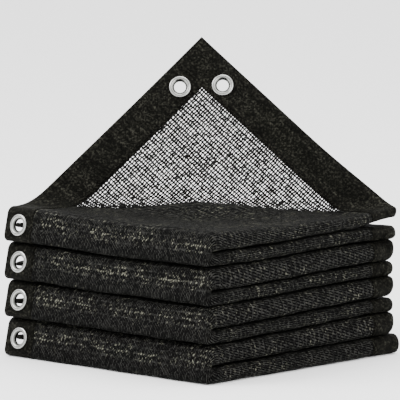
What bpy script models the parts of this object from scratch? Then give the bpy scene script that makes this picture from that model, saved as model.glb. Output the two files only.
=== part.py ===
"""Folded shade cloth: a bordered knitted net folded in half, then back and forth, with its top corner lifted.

The cloth is cut flat in (u, v) and then folded by one rule. u runs across it, from one hem over the upper
ply, round the half fold and back to the other hem. v runs along it, from the top end through eight panels
and the seven turns between them. World axes: X from the hems to the half fold, Y from the eyelet folds to
the seams, Z up from the surface it lies on. Last, the whole is centred over the origin. All sizes are in
metres.
"""

import math

import bmesh
import bpy
from mathutils import Matrix, Vector

# Driving sizes.
SIDE = 0.305  # one side of the folded square
SHEET = 0.002  # thickness of net and tape
PARTING = 0.0003  # gap that touching pieces keep
PANEL_GAP = 0.001  # gap between neighbouring panels
TAPE = 0.040  # width of the edge tape and of half a seam

# Heights between the panels, from the top one down, at the eyelet folds and at the seams.
LEVELS = (
    # eyelet side, seam side
    (0.1645, 0.1545),
    (0.1410, 0.1425),
    (0.1245, 0.1270),
    (0.0985, 0.1035),
    (0.0830, 0.0870),
    (0.0575, 0.0640),
    (0.0415, 0.0470),
    (0.0180, 0.0220),
    (0.0000, 0.0000),
)
PANELS = len(LEVELS) - 1

# The half fold along the side at high X.
FOLD_BULGE = 0.008
FOLD_START = SIDE - SHEET / 2 - FOLD_BULGE
FOLD_STEPS = 6
FOLD_LENGTH = 0.024  # flat length given to the half fold
FLATTEST_FOLD = 0.9  # most that the bulge may be of half the gap between the plies
FLAT_WIDTH = 2 * FOLD_START + FOLD_LENGTH

# Turns at low Y, where the outer ply makes the leaning face that holds an eyelet.
EYELET_TURN_Y = 0.024
FACE_LEAN = math.radians(13)
TOP_ROUND = 0.009
BOTTOM_ROUND = 0.006
INNER_TURN_Y = 0.0205
INNER_TURN_NEAR_FOLD_Y = 0.0130
INNER_TURN_SHIFT_X = 0.215  # where the inner turn starts to move towards the corner

# Turns at high Y, where the outer ply makes a small lobe over a large one.
SEAM_TURN_Y = SIDE - 0.026
SEAM_INNER_Y = SIDE - 0.0190
LOBE_SMALL_ROUND = 0.0052
LOBE_LARGE_ROUND = 0.009
LOBE_UNDER_ROUND = 0.0048
VALLEY_ROUND = 0.0015
VALLEY_DEPTH = 0.008
VALLEY_SLOPE = 0.0035
LOBE_SETBACK = 0.004  # of every lobe but the topmost small one

# The lifted corner: the top ply bends up about a line from the hem side to the far corner.
BEND_START = Vector((0.0, 0.020))
BEND_END = Vector((SIDE, SIDE))
BEND_LENGTH = (BEND_END - BEND_START).length
BEND_ALONG = (BEND_END - BEND_START).normalized()
BEND_ACROSS = Vector((-BEND_ALONG.y, BEND_ALONG.x))
BEND_RADIUS_START = 0.034
BEND_RADIUS_END = 0.012
BEND_ANGLE = math.radians(69)
BEND_STEPS = 4
FLAP_LEAN = 0.040  # how far the standing part leans along the bend line, for each metre past it
CREST_HEIGHT = 0.012
CREST_LENGTH = 0.078
CREST_WIDTH = 0.026
TIP_LIFT = 0.007  # how far the top panel's far corner rises off the others
TIP_LIFT_X = 0.190
TIP_LIFT_Y = 0.225

# A slow unevenness shared by every panel, none at the floor and full at the top.
WAVE_HEIGHT = 0.0008
WAVE_LENGTH_X = 0.260
WAVE_LENGTH_Y = 0.210
WAVE_START = 0.6  # angle of the swell along X at the hems
BACK_SLUMP = 0.045  # share of its height that the corner under the lifted one loses

# Where the flat cloth gets its lines, so that it can take the folds.
LINES_X = (0.125, 0.210)
LINES_Y = (0.110, 0.190)

TURN_LENGTH = 0.050  # flat length given to each turn
ROUND_STEPS = 4
LOBE_STEPS = 3
UNDER_STEPS = 2
ARC_POINTS = 8  # on the half circle of an inner turn

# Eyelets: a rolled barrel with a wide front flange and a smaller one behind.
EYELET_STEPS = 20
EYELET_HOLE = 0.0065
EYELET_BARREL = 0.0070
EYELET_CUT = 0.0073
EYELET_CUT_LENGTH = 0.016
EYELET_FRONT = 0.0120
EYELET_BACK = 0.0108
EYELET_CLEAR = SHEET / 2 + PARTING
EYELET_FOLD_X = 0.0195
EYELET_REACH = 0.004  # how far round its middle an eyelet takes its slope from
APEX_INSET = 0.023
APEX_FROM_CORNER = 0.056

EYELET_PROUD = 0.001  # how far the folds' eyelets stand out of the square
TO_ORIGIN = Matrix.Translation((-SIDE / 2, (EYELET_PROUD - SIDE) / 2, 0))

NET_LOOK = ((0.016, 0.016, 0.015), 0.62, 0.0)
TAPE_LOOK = ((0.010, 0.010, 0.009), 0.70, 0.0)
METAL_LOOK = ((0.62, 0.62, 0.61), 0.28, 1.0)


def smooth_step(value):
    """0 below 0, 1 above 1, and a smooth rise between."""
    value = min(1.0, max(0.0, value))
    return value * value * (3 - 2 * value)


def rounded_path(corners):
    """Points of an open outline in (y, z); a corner is (y, z, radius, steps) and the ends have no radius."""
    points = [Vector(corners[0][:2])]
    for before, corner, after in zip(corners, corners[1:], corners[2:]):
        middle = Vector(corner[:2])
        arriving = (middle - Vector(before[:2])).normalized()
        leaving = (Vector(after[:2]) - middle).normalized()
        turn = -arriving.angle_signed(leaving)
        radius, steps = corner[2:]
        start = middle - arriving * radius * math.tan(abs(turn) / 2)
        inward = Vector((-arriving.y, arriving.x)) * math.copysign(radius, turn)
        centre = start + inward
        for step in range(steps + 1):
            points.append(centre + Matrix.Rotation(turn * step / steps, 2) @ -inward)
    points.append(Vector(corners[-1][:2]))
    return points


def tight_turn(start_y, turn_y, upper_z, lower_z, count):
    """A ply that runs to turn_y, turns back in a half circle and returns, in count points."""
    radius = (upper_z - lower_z) / 2
    toward = math.copysign(1.0, turn_y - start_y)
    on_run = (count - ARC_POINTS) // 2
    points = []
    for index in range(on_run):
        points.append(Vector((start_y + (turn_y - start_y) * index / on_run, upper_z)))
    for index in range(ARC_POINTS):
        angle = math.pi * index / (ARC_POINTS - 1)
        along = toward * radius * math.sin(angle)
        points.append(Vector((turn_y + along, lower_z + radius + radius * math.cos(angle))))
    for index in reversed(range(on_run)):
        points.append(Vector((start_y + (turn_y - start_y) * index / on_run, lower_z)))
    return points


def level(index, y):
    """Height of the boundary under panel number index, at y."""
    near, far = LEVELS[index]
    return near + (far - near) * y / SIDE


def ply_height(panel, upper, y):
    """Middle of a panel's upper or lower ply, at y."""
    if upper:
        return level(panel, y) - (PANEL_GAP + SHEET) / 2
    if panel == PANELS - 1:
        return SHEET / 2
    return level(panel + 1, y) + (PANEL_GAP + SHEET) / 2


def eyelet_turn(panel):
    """Outer ply between a panel and the one below it, at low y."""
    top = ply_height(panel, True, EYELET_TURN_Y)
    bottom = ply_height(panel + 1, False, EYELET_TURN_Y)
    tangent = BOTTOM_ROUND * math.tan((math.pi / 2 + FACE_LEAN) / 2)
    reach = tangent * math.sin(FACE_LEAN) + BOTTOM_ROUND * math.cos(FACE_LEAN)
    foot = SHEET / 2 + BOTTOM_ROUND - reach
    head = foot + (top - bottom) * math.tan(FACE_LEAN)
    return rounded_path(
        (
            (EYELET_TURN_Y, top),
            (head, top, TOP_ROUND, ROUND_STEPS),
            (foot, bottom, BOTTOM_ROUND, ROUND_STEPS),
            (EYELET_TURN_Y, bottom),
        )
    )


def seam_turn(panel):
    """Outer ply between a panel and the one below it, at high y: a small lobe over a large one."""
    top = ply_height(panel, True, SEAM_TURN_Y)
    bottom = ply_height(panel + 1, False, SEAM_TURN_Y)
    middle = level(panel + 1, SIDE)
    large = SIDE - SHEET / 2 - LOBE_SETBACK
    small = large + (LOBE_SETBACK if panel == 1 else 0)
    return rounded_path(
        (
            (SEAM_TURN_Y, top),
            (small, top, LOBE_SMALL_ROUND, LOBE_STEPS),
            (small, middle + VALLEY_SLOPE, LOBE_UNDER_ROUND, UNDER_STEPS),
            (large - VALLEY_DEPTH, middle, VALLEY_ROUND, LOBE_STEPS),
            (large, middle - VALLEY_SLOPE, LOBE_UNDER_ROUND, UNDER_STEPS),
            (large, bottom, LOBE_LARGE_ROUND, LOBE_STEPS),
            (SEAM_TURN_Y, bottom),
        )
    )


def inner_turn(panel, at_eyelets, x, count):
    """Inner ply between a panel and the one below it, at x."""
    start = EYELET_TURN_Y if at_eyelets else SEAM_TURN_Y
    upper = ply_height(panel, False, start)
    lower = ply_height(panel + 1, True, start)
    turn_y = SEAM_INNER_Y
    if at_eyelets:
        shift = smooth_step((x - INNER_TURN_SHIFT_X) / (FOLD_START - INNER_TURN_SHIFT_X))
        turn_y = INNER_TURN_Y + (INNER_TURN_NEAR_FOLD_Y - INNER_TURN_Y) * shift
    return tight_turn(start, turn_y, upper, lower, count)


def path_stretches():
    """The stretches along v, in order: (first v, last v, panel, what it is, its y ends or its outline)."""
    stretches = []
    place = 0.0
    for panel in range(PANELS):
        towards_eyelets = panel % 2 == 0
        far = SIDE if panel in (0, PANELS - 1) else SEAM_TURN_Y
        ends = (far, EYELET_TURN_Y) if towards_eyelets else (EYELET_TURN_Y, far)
        length = abs(ends[1] - ends[0])
        stretches.append((place, place + length, panel, "panel", ends))
        place += length
        if panel < PANELS - 1:
            outline = eyelet_turn(panel) if towards_eyelets else seam_turn(panel)
            stretches.append((place, place + TURN_LENGTH, panel, "turn", outline))
            place += TURN_LENGTH
    return stretches


STRETCHES = path_stretches()
FLAT_LENGTH = STRETCHES[-1][1]


def v_at(panel, y):
    """Place along v of the place y on a panel."""
    start, _, _, _, ends = STRETCHES[2 * panel]
    return start + abs(y - ends[0])


def lines_along():
    """Every v where the flat cloth gets a line across it."""
    lines = []
    for start, end, panel, kind, shape in STRETCHES:
        lines.append(start)
        if kind == "panel":
            lines += [v_at(panel, y) for y in LINES_Y]
        else:
            steps = len(shape) - 1
            lines += [start + (end - start) * step / steps for step in range(1, steps)]
    return lines


def lines_across():
    """Every u where the flat cloth gets a line along it."""
    round_fold = [FOLD_START + FOLD_LENGTH * step / FOLD_STEPS for step in range(FOLD_STEPS + 1)]
    return [*LINES_X, *round_fold, *(FLAT_WIDTH - x for x in LINES_X)]


def point_on(outline, share):
    """The point at a share of an outline's steps."""
    place = min(1.0, max(0.0, share)) * (len(outline) - 1)
    first = min(int(place), len(outline) - 2)
    return outline[first].lerp(outline[first + 1], place - first)


def lift_of_tip(panel, x, y):
    """How far the top panel's far corner stands up off the rest."""
    if panel > 0:
        return 0.0
    reach = smooth_step((x - TIP_LIFT_X) / (FOLD_START - TIP_LIFT_X))
    return TIP_LIFT * reach * smooth_step((y - TIP_LIFT_Y) / (SIDE - TIP_LIFT_Y))


def plies_at(v, x):
    """The (y, z) of the first and the second ply at v, where u meets x on each."""
    stretch = next((one for one in STRETCHES if v <= one[1]), STRETCHES[-1])
    start, end, panel, kind, shape = stretch
    if kind == "panel":
        y = shape[0] + (shape[1] - shape[0]) * (v - start) / (end - start)
        first_on_top = panel % 2 == 0
        rise = lift_of_tip(panel, x, y)
        first = Vector((y, ply_height(panel, first_on_top, y) + rise))
        second = Vector((y, ply_height(panel, not first_on_top, y) + rise))
        return first, second
    share = (v - start) / (end - start)
    at_eyelets = panel % 2 == 0
    outer = point_on(shape, share)
    inner = point_on(inner_turn(panel, at_eyelets, x, len(shape)), share)
    return (outer, inner) if at_eyelets else (inner, outer)


def settled(x, y, z):
    """Height z with the shared unevenness: a swell along each side and a slump at the back corner."""
    swell = math.sin(math.tau * x / WAVE_LENGTH_X + WAVE_START) + math.cos(math.tau * y / WAVE_LENGTH_Y)
    slump = BACK_SLUMP * max(0.0, 1 - x / SIDE) * max(0.0, y / SIDE)
    return z + (WAVE_HEIGHT * swell - slump * z) * min(1.0, z / LEVELS[0][0])


def folded(u, v):
    """Where the flat cloth's point (u, v) lies once folded."""
    turn = math.pi * min(1.0, max(0.0, (u - FOLD_START) / FOLD_LENGTH))
    x = min(u, FLAT_WIDTH - u, FOLD_START)
    first, second = plies_at(v, x)
    middle = (first + second) / 2
    half = (first - second) / 2
    across = middle + half * math.cos(turn)
    bulge = min(FOLD_BULGE, FLATTEST_FOLD * half.length)
    place = Vector((x + bulge * math.sin(turn), across.x, across.y))
    place.z = settled(place.x, place.y, place.z)
    return lifted(place, (1 + math.cos(turn)) / 2) if v < v_at(0, EYELET_TURN_Y) else place


def lifted(place, share):
    """The top ply's point with the corner bent up; share is 1 on that ply and 0 on the one under it."""
    offset = place.xy - BEND_START
    distance = offset.dot(BEND_ACROSS)
    run = offset.dot(BEND_ALONG)
    crest = CREST_HEIGHT * math.exp(-(((run - BEND_LENGTH / 2) / CREST_LENGTH) ** 2))
    crest *= math.exp(-(((distance + CREST_WIDTH / 2) / CREST_WIDTH) ** 2))
    if distance <= 0:
        return place + Vector((0, 0, crest * share))
    radius = bend_radius(run)
    angle = min(distance / radius, BEND_ANGLE)
    rest = distance - radius * angle
    level_run = radius * math.sin(angle) + rest * math.cos(angle)
    rise = radius * (1 - math.cos(angle)) + rest * math.sin(angle)
    foot = BEND_START + BEND_ALONG * run
    foot_height = ply_height(0, True, foot.y) + lift_of_tip(0, foot.x, foot.y)
    foot_height = settled(foot.x, foot.y, foot_height)
    flat = foot + BEND_ACROSS * level_run + BEND_ALONG * FLAP_LEAN * rest
    bent = Vector((flat.x, flat.y, foot_height + rise + crest))
    return place.lerp(bent, share)


def bend_radius(run):
    """Radius of the bend at a place along its line."""
    return BEND_RADIUS_START + (BEND_RADIUS_END - BEND_RADIUS_START) * run / BEND_LENGTH


def cut_across(sheet, point, normal, only_flap=False):
    """Add a line to the flat sheet where a plane meets it."""
    faces = sheet.faces[:]
    if only_flap:
        last = v_at(0, EYELET_TURN_Y)
        faces = [
            face
            for face in faces
            if face.calc_center_median().x < FOLD_START and face.calc_center_median().y < last
        ]
    edges = {edge for face in faces for edge in face.edges}
    verts = {vert for face in faces for vert in face.verts}
    bmesh.ops.bisect_plane(sheet, geom=[*verts, *edges, *faces], plane_co=point, plane_no=normal, dist=1e-6)


def cut_flat(u_range, v_range):
    """A flat sheet in (u, v) with a line at each place where it folds."""
    sheet = bmesh.new()
    bmesh.ops.create_grid(sheet, x_segments=1, y_segments=1, size=0.5)
    size = Vector((u_range[1] - u_range[0], v_range[1] - v_range[0], 1))
    bmesh.ops.scale(sheet, vec=size, verts=sheet.verts)
    centre = Vector((sum(u_range) / 2, sum(v_range) / 2, 0))
    bmesh.ops.translate(sheet, vec=centre, verts=sheet.verts)
    for u in lines_across():
        if u_range[0] + PARTING < u < u_range[1] - PARTING:
            cut_across(sheet, (u, 0, 0), (1, 0, 0))
    for v in lines_along():
        if v_range[0] + PARTING < v < v_range[1] - PARTING:
            cut_across(sheet, (0, v, 0), (0, 1, 0))
    if v_range[0] < v_at(0, EYELET_TURN_Y) and u_range[0] < FOLD_START:
        cut_bend_lines(sheet)
    return sheet


def cut_bend_lines(sheet):
    """Lines along the lifted corner's bend; on the top panel v is SIDE less y."""
    for step in range(BEND_STEPS + 1):
        reach = BEND_ACROSS * BEND_ANGLE * step / BEND_STEPS
        first = BEND_START + reach * BEND_RADIUS_START
        last = BEND_END + reach * BEND_RADIUS_END
        line = last - first
        cut_across(sheet, (first.x, SIDE - first.y, 0), (line.y, line.x, 0), only_flap=True)


def principled(name, look):
    """A plain material of a colour, a roughness and a metallic value."""
    material = bpy.data.materials.new(name)
    material.use_nodes = True
    shader = material.node_tree.nodes["Principled BSDF"]
    color, roughness, metallic = look
    shader.inputs["Base Color"].default_value = (*color, 1.0)
    shader.inputs["Roughness"].default_value = roughness
    shader.inputs["Metallic"].default_value = metallic
    return material


def finish_object(name, mesh_data, look):
    """A named object of a bmesh, with its own material."""
    mesh = bpy.data.meshes.new(name)
    mesh_data.to_mesh(mesh)
    mesh_data.free()
    piece = bpy.data.objects.new(name, mesh)
    bpy.context.scene.collection.objects.link(piece)
    mesh.materials.append(principled(name, look))
    return piece


def cloth_piece(name, u_range, v_range, look):
    """A piece of cloth cut flat, folded and given its thickness."""
    sheet = cut_flat(u_range, v_range)
    for vert in sheet.verts:
        vert.co = folded(vert.co.x, vert.co.y)
    bmesh.ops.triangulate(sheet, faces=sheet.faces)
    piece = finish_object(name, sheet, look)
    piece.matrix_world = TO_ORIGIN
    thicken = piece.modifiers.new("Thickness", "SOLIDIFY")
    thicken.thickness = SHEET
    thicken.offset = 0
    thicken.use_even_offset = True
    return piece


def surface_frame(u, v):
    """World place and turn of an eyelet on the cloth, its axis out of the face that shows."""
    along_u = folded(u + EYELET_REACH, v) - folded(u - EYELET_REACH, v)
    along_v = folded(u, v + EYELET_REACH) - folded(u, v - EYELET_REACH)
    out = along_v.cross(along_u).normalized()
    side = along_u.normalized()
    turn = Matrix((side, out.cross(side), out)).transposed().to_4x4()
    return TO_ORIGIN @ Matrix.Translation(folded(u, v)) @ turn


def eyelet_profile():
    """Closed outline of an eyelet's metal, as (radius, height along its axis)."""
    front = EYELET_CLEAR
    return (
        (EYELET_BARREL, front),
        (EYELET_FRONT - 0.0004, front),
        (EYELET_FRONT, front + 0.0005),
        (EYELET_FRONT - 0.0008, front + 0.0012),
        (EYELET_FRONT - 0.0020, front + 0.0015),
        (EYELET_HOLE + 0.0019, front + 0.0015),
        (EYELET_HOLE + 0.0006, front + 0.0009),
        (EYELET_HOLE, front - 0.0005),
        (EYELET_HOLE, -front - 0.0006),
        (EYELET_HOLE + 0.0008, -front - 0.0011),
        (EYELET_BACK - 0.0006, -front - 0.0009),
        (EYELET_BACK, -front),
        (EYELET_BARREL, -front),
    )


def eyelet(name, frame):
    """A rolled metal eyelet, spun about its axis."""
    ring = bmesh.new()
    outline = [ring.verts.new((radius, 0, height)) for radius, height in eyelet_profile()]
    edges = [ring.edges.new(pair) for pair in zip(outline, outline[1:] + outline[:1])]
    bmesh.ops.spin(
        ring,
        geom=outline + edges,
        cent=(0, 0, 0),
        axis=(0, 0, 1),
        angle=math.tau,
        steps=EYELET_STEPS,
        use_merge=True,
    )
    bmesh.ops.remove_doubles(ring, verts=ring.verts, dist=0.00001)
    bmesh.ops.recalc_face_normals(ring, faces=ring.faces)
    piece = finish_object(name, ring, METAL_LOOK)
    piece.data.shade_smooth()
    piece.data.set_sharp_from_angle(angle=math.radians(50))
    piece.matrix_world = frame
    return piece


def cut_hole(cloth, name, frame):
    """Cut the hole that an eyelet's barrel passes through."""
    drill = bmesh.new()
    bmesh.ops.create_cone(
        drill,
        cap_ends=True,
        segments=EYELET_STEPS,
        radius1=EYELET_CUT,
        radius2=EYELET_CUT,
        depth=EYELET_CUT_LENGTH,
    )
    cutter = finish_object(name + "_cutter", drill, METAL_LOOK)
    cutter.matrix_world = frame
    cutter.hide_render = True
    cutter.display_type = "WIRE"
    hole = cloth.modifiers.new(name, "BOOLEAN")
    hole.operation = "DIFFERENCE"
    hole.solver = "EXACT"
    hole.object = cutter


def face_middle(panel):
    """Place along v of the middle of an eyelet turn's leaning face."""
    start, end, _, _, outline = STRETCHES[2 * panel + 1]
    return start + (end - start) * (1 + ROUND_STEPS + 0.5) / (len(outline) - 1)


def build_cloth():
    """Every piece of net and tape; the eyelets' two tapes are given back."""
    inner_u = (TAPE + PARTING, FLAT_WIDTH - TAPE - PARTING)
    end_line = SIDE - TAPE
    first_v = v_at(0, end_line)
    last_v = v_at(PANELS - 1, end_line)
    side_v = (first_v + PARTING, last_v - PARTING)
    for number in range(PANELS // 2):
        start = v_at(2 * number, end_line) + PARTING
        end = v_at(2 * number + 1, end_line) - PARTING
        cloth_piece(f"net_width_{number + 1}", inner_u, (start, end), NET_LOOK)
    for number in range(1, PANELS // 2):
        seam = (v_at(2 * number - 1, end_line), v_at(2 * number, end_line))
        cloth_piece(f"seam_tape_{number}", inner_u, seam, TAPE_LOOK)
    side_tape = cloth_piece("side_tape_a", (0, TAPE), side_v, TAPE_LOOK)
    cloth_piece("side_tape_b", (FLAT_WIDTH - TAPE, FLAT_WIDTH), side_v, TAPE_LOOK)
    end_tape = cloth_piece("end_tape_top", (0, FLAT_WIDTH), (0, first_v), TAPE_LOOK)
    cloth_piece("end_tape_bottom", (0, FLAT_WIDTH), (last_v, FLAT_LENGTH), TAPE_LOOK)
    return side_tape, end_tape


def build_eyelets(side_tape, end_tape):
    """The four eyelets of the folds and the two of the lifted corner."""
    places = [
        ("eyelet_apex_left", side_tape, APEX_INSET, v_at(0, SIDE - APEX_FROM_CORNER)),
        ("eyelet_apex_right", end_tape, APEX_FROM_CORNER, v_at(0, SIDE - APEX_INSET)),
    ]
    for number in range(PANELS // 2):
        places.append((f"eyelet_fold_{number + 1}", side_tape, EYELET_FOLD_X, face_middle(2 * number)))
    for name, tape, u, v in places:
        frame = surface_frame(u, v)
        eyelet(name, frame)
        cut_hole(tape, name, frame)


def main():
    """Clear the scene and build the cloth and its eyelets."""
    for old in list(bpy.data.objects):
        bpy.data.objects.remove(old)
    build_eyelets(*build_cloth())


main()
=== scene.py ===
"""The looks of a folded shade cloth: knitted net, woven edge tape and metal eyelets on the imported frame.

The cloth's own flat coordinates (u, v), in metres, run through the whole script. u crosses the cloth from
one hem over the upper ply, round the half fold and back. v runs along it through eight panels and the seven
turns between them. FoldedCloth turns a flat place into a folded one by the rule that the solids follow.
"""

import logging
import math
import random
from dataclasses import dataclass, field
from enum import Enum

import bmesh
import bpy
from mathutils import Matrix, Vector, noise

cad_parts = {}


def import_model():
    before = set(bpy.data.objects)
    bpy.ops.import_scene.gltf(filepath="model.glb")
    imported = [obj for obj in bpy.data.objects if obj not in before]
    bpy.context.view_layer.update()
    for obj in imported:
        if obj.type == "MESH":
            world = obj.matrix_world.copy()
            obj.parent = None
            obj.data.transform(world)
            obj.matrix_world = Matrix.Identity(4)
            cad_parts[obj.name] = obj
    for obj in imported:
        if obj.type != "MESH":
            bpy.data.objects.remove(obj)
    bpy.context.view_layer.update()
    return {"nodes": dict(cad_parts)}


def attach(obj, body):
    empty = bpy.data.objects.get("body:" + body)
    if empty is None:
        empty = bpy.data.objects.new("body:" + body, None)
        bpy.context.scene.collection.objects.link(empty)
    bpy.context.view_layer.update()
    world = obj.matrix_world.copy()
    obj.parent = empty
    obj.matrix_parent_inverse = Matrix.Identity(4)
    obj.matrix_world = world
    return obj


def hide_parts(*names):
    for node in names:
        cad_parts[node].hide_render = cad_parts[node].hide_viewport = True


LOG = logging.getLogger("shade_cloth")
CUT_TOLERANCE = 1e-6
MERGE_DISTANCE = 1e-5
CLOTH_SPECULAR = 0.02
Colour = tuple[float, float, float]
Range = tuple[float, float]


class Slot(Enum):
    """A material slot of the cloth."""

    NET = "net"
    TAPE = "tape"
    EYELET = "eyelet"


def clamped(value: float) -> float:
    """The nearest value from 0 to 1."""
    return min(1.0, max(0.0, value))


@dataclass(frozen=True)
class Level:
    """Height of a boundary between panels, at the eyelet folds and at the seams."""

    near: float
    far: float


@dataclass(frozen=True)
class Stretch:
    """A stretch of v: one panel, or the turn under it with its outline in (y, z)."""

    start: float
    end: float
    panel: int
    ends: tuple[float, float] = (0.0, 0.0)
    outline: tuple[Vector, ...] = ()

    def lengths(self) -> list[float]:
        """Real length of the outline up to each of its points."""
        found = [0.0]
        for before, after in zip(self.outline, self.outline[1:]):
            found.append(found[-1] + (after - before).length)
        return found


@dataclass
class FoldedCloth:
    """The folded form of the cloth, as named sizes and the rule that folds it."""

    side: float = 0.305
    solid_sheet: float = 0.002
    panel_gap: float = 0.001
    tape: float = 0.040
    levels: tuple[Level, ...] = (
        Level(0.1645, 0.1545),
        Level(0.1410, 0.1425),
        Level(0.1245, 0.1270),
        Level(0.0985, 0.1035),
        Level(0.0830, 0.0870),
        Level(0.0575, 0.0640),
        Level(0.0415, 0.0470),
        Level(0.0180, 0.0220),
        Level(0.0000, 0.0000),
    )
    fold_bulge: float = 0.008
    bulge_share: float = 0.9
    fold_length: float = 0.024
    eyelet_turn_y: float = 0.024
    face_lean: float = math.radians(13)
    top_round: float = 0.009
    bottom_round: float = 0.006
    inner_turn_y: float = 0.0205
    inner_turn_near_fold_y: float = 0.0130
    inner_turn_shift_x: float = 0.215
    seam_setback: float = 0.026
    seam_inner_setback: float = 0.0190
    lobe_small_round: float = 0.0052
    lobe_large_round: float = 0.009
    lobe_under_round: float = 0.0048
    valley_round: float = 0.0015
    valley_depth: float = 0.008
    valley_slope: float = 0.0035
    lobe_setback: float = 0.004
    bend_start_y: float = 0.020
    bend_radius_start: float = 0.034
    bend_radius_end: float = 0.012
    bend_angle: float = math.radians(69)
    flap_lean: float = 0.040
    crest_height: float = 0.012
    crest_length: float = 0.078
    crest_width: float = 0.026
    tip_lift: float = 0.007
    tip_lift_x: float = 0.190
    tip_lift_y: float = 0.225
    wave_height: float = 0.0008
    wave_length_x: float = 0.260
    wave_length_y: float = 0.210
    wave_start: float = 0.6
    back_slump: float = 0.045
    turn_length: float = 0.050
    eyelet_proud: float = 0.001
    round_steps: int = 10
    lobe_steps: int = 8
    under_steps: int = 5
    pucker: float = 0.0011
    pucker_waves: tuple[tuple[float, float, float, float], ...] = ((21, 34, 0.4, 1.0), (55, 80, 3.1, 0.5))
    stretches: list[Stretch] = field(init=False, default_factory=list)

    def __post_init__(self) -> None:
        """Work out the stretches along v."""
        self.stretches = self._stretches()

    @property
    def fold_start(self) -> float:
        """Where the half fold leaves the flat plies, along x."""
        return self.side - self.solid_sheet / 2 - self.fold_bulge

    @property
    def flat_width(self) -> float:
        """Width of the cloth when it is laid out."""
        return 2 * self.fold_start + self.fold_length

    @property
    def flat_length(self) -> float:
        """Length of the cloth when it is laid out."""
        return self.stretches[-1].end

    @property
    def panels(self) -> int:
        """How many panels the folding makes."""
        return len(self.levels) - 1

    @property
    def seam_turn_y(self) -> float:
        """Where a turn at the seams starts."""
        return self.side - self.seam_setback

    @staticmethod
    def smooth_step(value: float) -> float:
        """0 below 0, 1 above 1, and a smooth rise between."""
        value = clamped(value)
        return value * value * (3 - 2 * value)

    @staticmethod
    def rounded_path(corners: tuple[tuple[float, ...], ...]) -> tuple[Vector, ...]:
        """An open outline with rounded corners.

        Args:
            corners: (y, z) at the ends and (y, z, radius, steps) between them.

        Returns:
            The outline's points in (y, z).
        """
        points = [Vector(corners[0][:2])]
        for before, corner, after in zip(corners, corners[1:], corners[2:]):
            middle = Vector(corner[:2])
            arriving = (middle - Vector(before[:2])).normalized()
            leaving = (Vector(after[:2]) - middle).normalized()
            turn = -arriving.angle_signed(leaving)
            radius, steps = corner[2], int(corner[3])
            start = middle - arriving * radius * math.tan(abs(turn) / 2)
            inward = Vector((-arriving.y, arriving.x)) * math.copysign(radius, turn)
            for step in range(steps + 1):
                points.append(start + inward + Matrix.Rotation(turn * step / steps, 2) @ -inward)
        points.append(Vector(corners[-1][:2]))
        return tuple(points)

    @staticmethod
    def tight_turn(start_y: float, turn_y: float, upper_z: float, lower_z: float, share: float) -> Vector:
        """A place on a ply that runs to turn_y, turns back in a half circle and returns.

        Args:
            start_y: Where the ply starts and ends.
            turn_y: Where its half circle starts.
            upper_z: Height of the upper run.
            lower_z: Height of the lower run.
            share: How far along, from 0 to 1.

        Returns:
            The place in (y, z).
        """
        radius = (upper_z - lower_z) / 2
        toward = math.copysign(1.0, turn_y - start_y)
        run = 0.3
        if share < run:
            return Vector((start_y + (turn_y - start_y) * share / run, upper_z))
        if share > 1 - run:
            return Vector((start_y + (turn_y - start_y) * (1 - share) / run, lower_z))
        angle = math.pi * (share - run) / (1 - 2 * run)
        height = lower_z + radius + radius * math.cos(angle)
        return Vector((turn_y + toward * radius * math.sin(angle), height))

    def level(self, index: int, y: float) -> float:
        """Height of a boundary between panels at y."""
        row = self.levels[index]
        return row.near + (row.far - row.near) * y / self.side

    def ply_height(self, panel: int, upper: bool, y: float) -> float:
        """Middle of a panel's upper or lower ply at y.

        Args:
            panel: Which panel, from the top.
            upper: Whether the upper ply is meant.
            y: Place along the folded square.

        Returns:
            The height.
        """
        if upper:
            return self.level(panel, y) - (self.panel_gap + self.solid_sheet) / 2
        if panel == self.panels - 1:
            return self.solid_sheet / 2
        return self.level(panel + 1, y) + (self.panel_gap + self.solid_sheet) / 2

    def _eyelet_turn(self, panel: int) -> tuple[Vector, ...]:
        """Outer ply of a turn at the eyelets, with the leaning face.

        Args:
            panel: The panel over the turn.

        Returns:
            Its points in (y, z).
        """
        top = self.ply_height(panel, True, self.eyelet_turn_y)
        bottom = self.ply_height(panel + 1, False, self.eyelet_turn_y)
        lean, radius = self.face_lean, self.bottom_round
        reach = radius * math.tan((math.pi / 2 + lean) / 2) * math.sin(lean) + radius * math.cos(lean)
        foot = self.solid_sheet / 2 + radius - reach
        head = foot + (top - bottom) * math.tan(lean)
        return self.rounded_path(
            (
                (self.eyelet_turn_y, top),
                (head, top, self.top_round, self.round_steps),
                (foot, bottom, radius, self.round_steps),
                (self.eyelet_turn_y, bottom),
            )
        )

    def _seam_turn(self, panel: int) -> tuple[Vector, ...]:
        """Outer ply of a turn at the seams: a small lobe over a large one.

        Args:
            panel: The panel over the turn.

        Returns:
            Its points in (y, z).
        """
        top = self.ply_height(panel, True, self.seam_turn_y)
        bottom = self.ply_height(panel + 1, False, self.seam_turn_y)
        middle = self.level(panel + 1, self.side)
        large = self.side - self.solid_sheet / 2 - self.lobe_setback
        small = large + (self.lobe_setback if panel == 1 else 0)
        return self.rounded_path(
            (
                (self.seam_turn_y, top),
                (small, top, self.lobe_small_round, self.lobe_steps),
                (small, middle + self.valley_slope, self.lobe_under_round, self.under_steps),
                (large - self.valley_depth, middle, self.valley_round, self.lobe_steps),
                (large, middle - self.valley_slope, self.lobe_under_round, self.under_steps),
                (large, bottom, self.lobe_large_round, self.lobe_steps),
                (self.seam_turn_y, bottom),
            )
        )

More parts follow.
